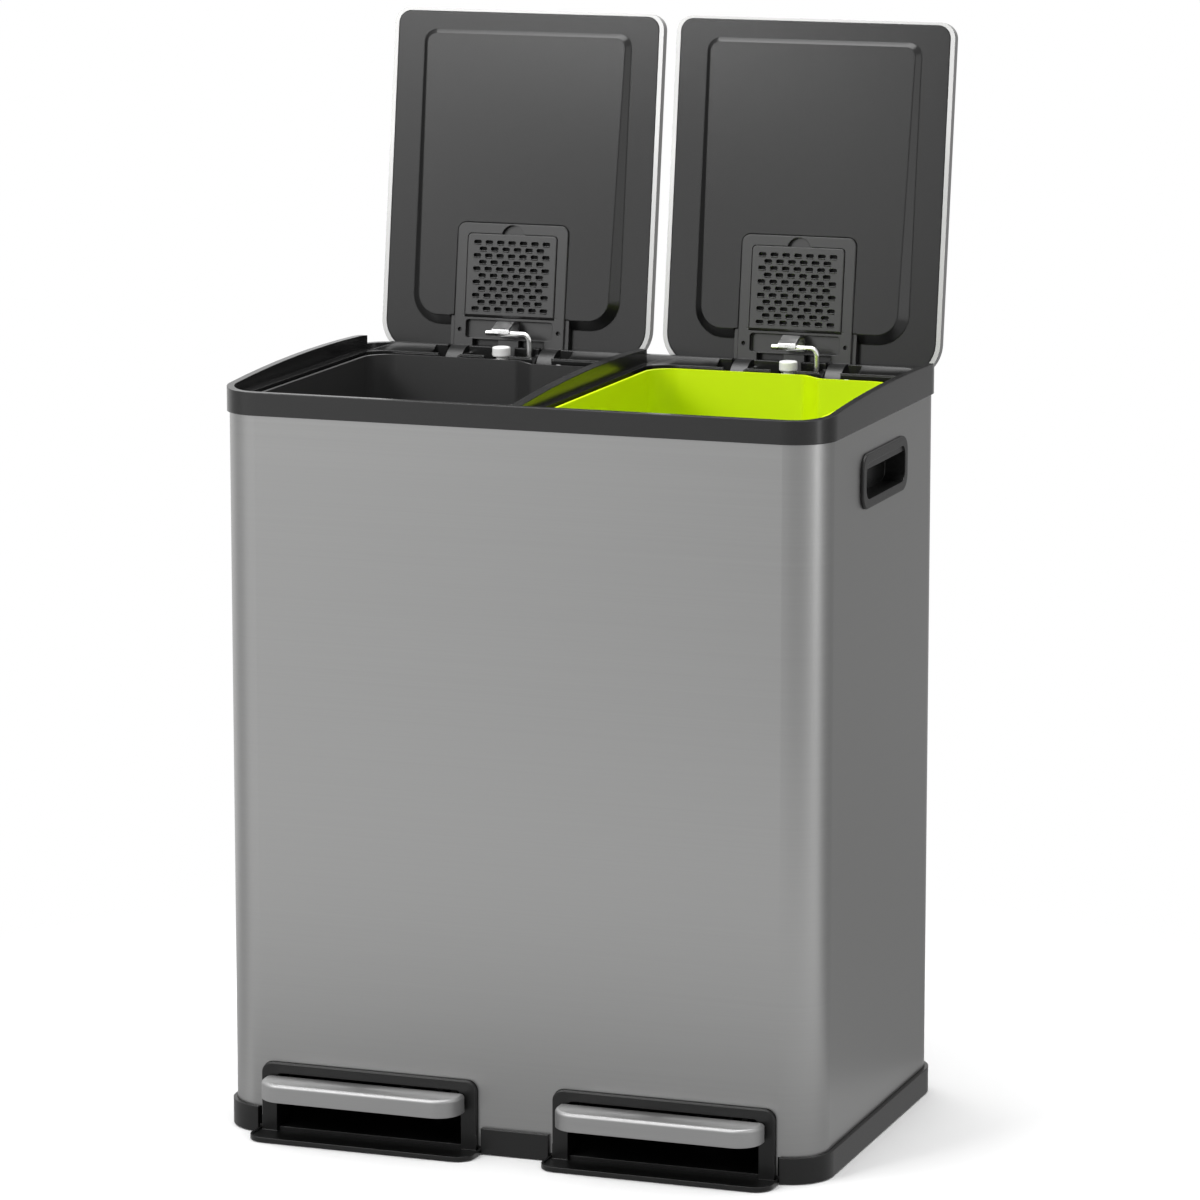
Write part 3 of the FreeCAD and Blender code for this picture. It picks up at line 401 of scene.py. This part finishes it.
studio = {"floorColour": 0.90, "floorSpeck": 0.01, "speckScale": 3.0, "floorRough": 0.9, "floorSize": 30.0,
          "shadowReach": 0.38, "fadeEnd": 0.80, "worldLight": 0.50, "worldSeen": 1.0,
          "footReach": (0.30, 1.10), "footGrey": 0.52}


def seenRays(tree):
    # 1 for what the camera, a gloss or a clear part sees
    rays = tree.nodes.new("ShaderNodeLightPath").outputs
    seen = maths(tree, "MAXIMUM", rays["Is Camera Ray"], rays["Is Glossy Ray"])
    return maths(tree, "MAXIMUM", seen, rays["Is Transmission Ray"])


def smoothStep(tree, value, start, end, low, high):
    fade = tree.nodes.new("ShaderNodeMapRange")
    fade.interpolation_type = "SMOOTHSTEP"
    for name, number in (("From Min", start), ("From Max", end), ("To Min", low), ("To Max", high)):
        fade.inputs[name].default_value = number
    tree.links.new(value, fade.inputs["Value"])
    return fade.outputs["Result"]


def glowOver(tree, under, share, strength):
    # a plain glow laid over a surface by a share of 0 to 1
    glow = tree.nodes.new("ShaderNodeEmission")
    glow.inputs["Strength"].default_value = strength
    mix = tree.nodes.new("ShaderNodeMixShader")
    tree.links.new(share, mix.inputs[0])
    tree.links.new(under, mix.inputs[1])
    tree.links.new(glow.outputs[0], mix.inputs[2])
    return mix.outputs[0]


def buildFloor():
    mesh = bpy.data.meshes.new("studioFloor")
    reach = studio["floorSize"]
    shape = bmesh.new()
    corners = [shape.verts.new((x * reach, y * reach, 0.0)) for x, y in ((-1, -1), (1, -1), (1, 1), (-1, 1))]
    shape.faces.new(corners)
    shape.to_mesh(mesh)
    shape.free()
    floor = bpy.data.objects.new("studioFloor", mesh)
    bpy.context.collection.objects.link(floor)
    material, tree, shader = newMaterial("studioFloor")
    place = objectPoint(tree, unstretched)
    speck = noiseOn(tree, place, studio["speckScale"], 2.0)
    pale = (studio["floorColour"],) * 3
    paler = (studio["floorColour"] + studio["floorSpeck"],) * 3
    colourRamp(tree, speck, pale, paler, shader.inputs["Base Color"])
    shader.inputs["Roughness"].default_value = studio["floorRough"]
    shader.inputs["Specular IOR Level"].default_value = 0.0
    # the floor keeps the shadow near the bin and turns into the white backdrop further out
    length = tree.nodes.new("ShaderNodeVectorMath")
    length.operation = "LENGTH"
    tree.links.new(place, length.inputs[0])
    away = length.outputs["Value"]
    far = smoothStep(tree, away, studio["shadowReach"], studio["fadeEnd"], 0.0, 1.0)
    backdropShare = maths(tree, "MULTIPLY", far, seenRays(tree))
    backdrop = glowOver(tree, shader.outputs[0], backdropShare, studio["worldSeen"])
    # in the gloss of the steel the floor round the foot is the darker part
    rays = tree.nodes.new("ShaderNodeLightPath").outputs
    near = smoothStep(tree, away, *studio["footReach"], 1.0, 0.0)
    footShare = maths(tree, "MULTIPLY", near, rays["Is Glossy Ray"])
    surface = glowOver(tree, backdrop, footShare, studio["footGrey"])
    tree.links.new(surface, tree.nodes["Material Output"].inputs["Surface"])
    mesh.materials.append(material)


def buildWorld():
    world = bpy.data.worlds.new("studioWorld")
    bpy.context.scene.world = world
    world.use_nodes = True
    tree = world.node_tree
    ground = tree.nodes["Background"]
    level = tree.nodes.new("ShaderNodeMapRange")
    level.inputs["To Min"].default_value = studio["worldLight"]
    level.inputs["To Max"].default_value = studio["worldSeen"]
    tree.links.new(seenRays(tree), level.inputs["Value"])
    tree.links.new(level.outputs["Result"], ground.inputs["Strength"])
    ground.inputs["Color"].default_value = (1, 1, 1, 1)


# grey cards that only gloss sees: they shape the tone of the steel, as in a product studio
# angle and tone pairs go round the bin from the front to the right
# each profile goes up through pairs of distance and height, and may start on the floor
cards = {
    "frontCard": {"tones": ((-34, 1.0), (-14, 0.82), (8, 0.58), (45, 0.58), (66, 0.85)),
                  "profile": ((1.5, -0.1), (1.5, 1.2))},
    "backCard": {"tones": ((90, 0.70), (110, 0.38), (155, 0.36), (186, 0.75)),
                 "profile": ((0.34, 0.004), (1.7, 0.004), (1.7, 1.3))},
    "leftCard": {"tones": ((-96, 0.80), (-82, 0.62), (-66, 0.66), (-54, 0.95)),
                 "profile": ((0.34, 0.004), (1.7, 0.004), (1.7, 1.3))},
}
cardSteps = 24


def toneAt(tones, angle):
    for (firstAngle, firstTone), (nextAngle, nextTone) in zip(tones, tones[1:]):
        if angle <= nextAngle:
            return firstTone + (nextTone - firstTone) * (angle - firstAngle) / (nextAngle - firstAngle)
    return tones[-1][1]


def cardMaterial():
    material, tree, shader = newMaterial("greyCard")
    tone = tree.nodes.new("ShaderNodeAttribute")
    tone.attribute_name = "tone"
    glow = tree.nodes.new("ShaderNodeEmission")
    tree.links.new(tone.outputs["Color"], glow.inputs["Color"])
    tree.links.new(glow.outputs[0], tree.nodes["Material Output"].inputs["Surface"])
    return material


def cardMesh(name, tones, profile):
    vertices = []
    greys = []
    for step in range(cardSteps + 1):
        angle = tones[0][0] + (tones[-1][0] - tones[0][0]) * step / cardSteps
        turn = math.radians(angle)
        for radius, height in profile:
            vertices.append((radius * math.sin(turn), -radius * math.cos(turn), height))
            greys.append(toneAt(tones, angle))
    rows = len(profile)
    faces = []
    for step in range(cardSteps):
        for row in range(rows - 1):
            first = step * rows + row
            faces.append((first, first + rows, first + rows + 1, first + 1))
    mesh = bpy.data.meshes.new(name)
    mesh.from_pydata(vertices, [], faces)
    attribute = mesh.color_attributes.new("tone", "FLOAT_COLOR", "POINT")
    for index, grey in enumerate(greys):
        attribute.data[index].color = (grey, grey, grey, 1)
    return mesh


def buildCards():
    material = cardMaterial()
    for name, spec in cards.items():
        mesh = cardMesh(name, spec["tones"], spec["profile"])
        mesh.materials.append(material)
        card = bpy.data.objects.new(name, mesh)
        bpy.context.collection.objects.link(card)
        card.visible_camera = False
        card.visible_diffuse = False
        card.visible_shadow = False
        card.visible_transmission = False


lamps = {
    "keyLamp": {"place": (-1.25, -1.55, 1.70), "aim": (0, 0, 0.6), "size": 1.4, "tall": 1.1, "power": 22.0},
    "stripLamp": {"place": (2.4, -0.4, 0.9), "aim": (0.2, 0, 0.5), "size": 0.4, "tall": 1.6, "power": 4.0},
    "lidLamp": {"place": (-0.71, -1.80, 1.18), "aim": (0, 0.2, 0.8), "size": 0.36, "tall": 0.34, "power": 7.0},
    "topLamp": {"place": (0.0, 0.2, 3.0), "aim": (0, 0, 0.4), "size": 2.2, "power": 90.0},
}


def buildLamps():
    for name, spec in lamps.items():
        light = bpy.data.lights.new(name, "AREA")
        light.shape = "RECTANGLE"
        light.size = spec["size"]
        light.size_y = spec.get("tall", spec["size"])
        light.energy = spec["power"]
        lamp = bpy.data.objects.new(name, light)
        lamp.location = spec["place"]
        direction = Vector(spec["aim"]) - Vector(spec["place"])
        lamp.rotation_euler = direction.to_track_quat("-Z", "Y").to_euler()
        bpy.context.collection.objects.link(lamp)


view = {"place": (1.50936, -4.17087, 1.24790), "azimuth": 19.73, "elevation": 10.56,
        "focal": 168.12, "sensor": 36.0, "farthest": 100.0}


def buildCamera():
    lens = bpy.data.cameras.new("studioCamera")
    lens.sensor_fit = "HORIZONTAL"
    lens.sensor_width = view["sensor"]
    lens.lens = view["focal"]
    lens.clip_end = view["farthest"]
    camera = bpy.data.objects.new("studioCamera", lens)
    camera.location = view["place"]
    camera.rotation_euler = (math.radians(90 - view["elevation"]), 0, math.radians(view["azimuth"]))
    bpy.context.collection.objects.link(camera)
    bpy.context.scene.camera = camera


buildFloor()
buildWorld()
buildCards()
buildLamps()
buildCamera()
bpy.context.scene.view_settings.view_transform = "Standard"
print("studio ready")
